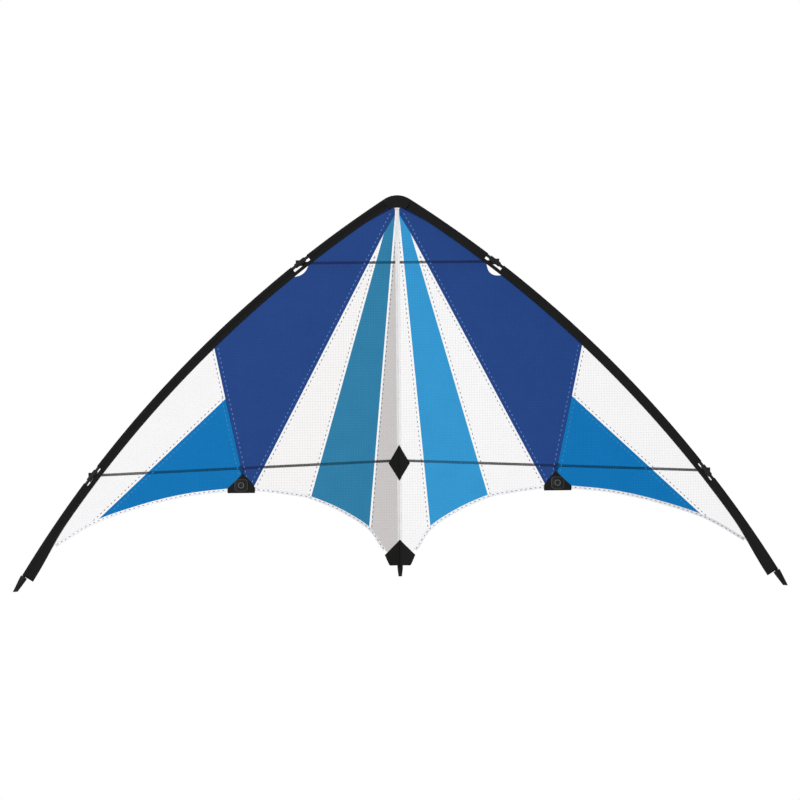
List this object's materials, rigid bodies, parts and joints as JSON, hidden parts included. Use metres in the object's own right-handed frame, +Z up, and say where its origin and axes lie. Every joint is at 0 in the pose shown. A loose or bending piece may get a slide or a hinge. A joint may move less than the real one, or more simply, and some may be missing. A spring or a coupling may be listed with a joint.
{
  "type": "delta stunt kite",
  "caption": "Framed delta two-line sport kite with rod frame, sewn ripstop panels, leading-edge sleeves and wings that fold to the spine.",
  "frame": {"origin": "on the spine's axis at the centre fitting, where the lower spreader crosses the spine", "axes": "+X along the wingspan to the right wing tip, +Z up the spine to the nose, +Y from the sail's leeward side towards the frame and bridle side"},
  "size_m": [1.2536, 0.0847, 0.6362],
  "materials": {
    "spar": "satin",
    "spreader": "satin",
    "ferrule": "satin",
    "fitting": "matt",
    "end_cap": "matt",
    "black_webbing": "woven",
    "white_cloth": "ripstop",
    "light_blue_cloth": "ripstop",
    "mid_blue_cloth": "ripstop",
    "dark_blue_cloth": "ripstop"
  },
  "bodies": {
    "centre": {"spine_rod": "spar", "spine_nose_cap": "end_cap", "tail_cap": "end_cap", "centre_cross": "fitting", "nose_patch": "black_webbing", "centre_patch": "black_webbing", "tail_patch": "black_webbing", "left_centre_panel": "white_cloth", "right_centre_panel": "white_cloth"},
    "upper_spreader": {"upper_spreader": "spreader"},
    "left_sail_fold": {"left_light_blue_gore": "light_blue_cloth", "left_white_gore": "white_cloth", "left_standoff_button": "fitting", "left_standoff_patch": "black_webbing"},
    "left_wing": {"left_edge_spar_upper": "spar", "left_edge_spar_lower": "spar", "left_edge_ferrule": "ferrule", "left_tip_cap": "end_cap", "left_upper_connector": "fitting", "left_lower_connector": "fitting", "left_edge_sleeve": "black_webbing", "left_dark_blue_panel": "dark_blue_cloth", "left_mid_blue_panel": "mid_blue_cloth", "left_white_tip_panel": "white_cloth", "left_trailing_hem": "white_cloth"},
    "left_spreader": {"left_lower_spreader": "spreader"},
    "left_standoff": {"left_standoff": "spreader", "left_standoff_clip": "fitting"},
    "right_sail_fold": {"right_light_blue_gore": "light_blue_cloth", "right_white_gore": "white_cloth", "right_standoff_button": "fitting", "right_standoff_patch": "black_webbing"},
    "right_wing": {"right_edge_spar_upper": "spar", "right_edge_spar_lower": "spar", "right_edge_ferrule": "ferrule", "right_tip_cap": "end_cap", "right_upper_connector": "fitting", "right_lower_connector": "fitting", "right_edge_sleeve": "black_webbing", "right_dark_blue_panel": "dark_blue_cloth", "right_mid_blue_panel": "mid_blue_cloth", "right_white_tip_panel": "white_cloth", "right_trailing_hem": "white_cloth"},
    "right_spreader": {"right_lower_spreader": "spreader"},
    "right_standoff": {"right_standoff": "spreader", "right_standoff_clip": "fitting"}
  },
  "joints": [
    {"name": "left_wing_fold", "type": "hinge", "parent": "centre", "child": "left_sail_fold", "pos_m": [0, 0, 0.424], "axis": [0, -1, 0], "range_deg": [0, 21.5], "deforming": ["left_centre_panel", "left_light_blue_gore", "left_white_gore", "left_edge_sleeve", "left_trailing_hem", "nose_patch", "tail_patch", "centre_patch"]},
    {"name": "left_wing_close", "type": "hinge", "parent": "left_sail_fold", "child": "left_wing", "pos_m": [0, 0, 0.424], "axis": [0, -1, 0], "range_deg": [0, 16.5], "deforming": ["left_dark_blue_panel", "left_mid_blue_panel", "left_white_tip_panel", "left_standoff_patch"]},
    {"name": "left_spreader_swing", "type": "hinge", "parent": "left_wing", "child": "left_spreader", "pos_m": [-0.49342, 0.008, -0.02018], "axis": [-0.0039, -0.9954, 0.0958], "range_deg": [0, 42.8]},
    {"name": "left_standoff_turn", "type": "hinge", "parent": "left_spreader", "child": "left_standoff", "pos_m": [-0.254, 0.008, -0.01038], "axis": [0.9992, 0, 0.0409], "range_deg": [0, 88]},
    {"name": "right_wing_fold", "type": "hinge", "parent": "centre", "child": "right_sail_fold", "pos_m": [0, 0, 0.424], "axis": [0, 1, 0], "range_deg": [0, 21.5], "deforming": ["right_centre_panel", "right_light_blue_gore", "right_white_gore", "right_edge_sleeve", "right_trailing_hem"]},
    {"name": "right_wing_close", "type": "hinge", "parent": "right_sail_fold", "child": "right_wing", "pos_m": [0, 0, 0.424], "axis": [0, 1, 0], "range_deg": [0, 16.5], "deforming": ["right_dark_blue_panel", "right_mid_blue_panel", "right_white_tip_panel", "right_standoff_patch"]},
    {"name": "right_spreader_swing", "type": "hinge", "parent": "right_wing", "child": "right_spreader", "pos_m": [0.49342, 0.008, -0.02018], "axis": [-0.0039, 0.9954, -0.0958], "range_deg": [0, 42.8]},
    {"name": "right_standoff_turn", "type": "hinge", "parent": "right_spreader", "child": "right_standoff", "pos_m": [0.254, 0.008, -0.01038], "axis": [0.9992, 0, -0.0409], "range_deg": [0, 88]},
    {"name": "upper_spreader_swing", "type": "hinge", "parent": "left_wing", "child": "upper_spreader", "pos_m": [-0.1551, 0.008, 0.32068], "axis": [0, 0.9995, 0.0314], "range_deg": [0, 128]}
  ],
  "couplings": [
    {"joint": "left_wing_close", "follows": "left_wing_fold", "ratio": 0.76744},
    {"joint": "left_spreader_swing", "follows": "left_wing_fold", "ratio": 1.9907},
    {"joint": "left_standoff_turn", "follows": "left_wing_fold", "ratio": 4.093},
    {"joint": "right_wing_close", "follows": "right_wing_fold", "ratio": 0.76744},
    {"joint": "right_spreader_swing", "follows": "right_wing_fold", "ratio": 1.9907},
    {"joint": "right_standoff_turn", "follows": "right_wing_fold", "ratio": 4.093},
    {"joint": "upper_spreader_swing", "follows": "left_wing_fold", "ratio": 5.9535}
  ]
}
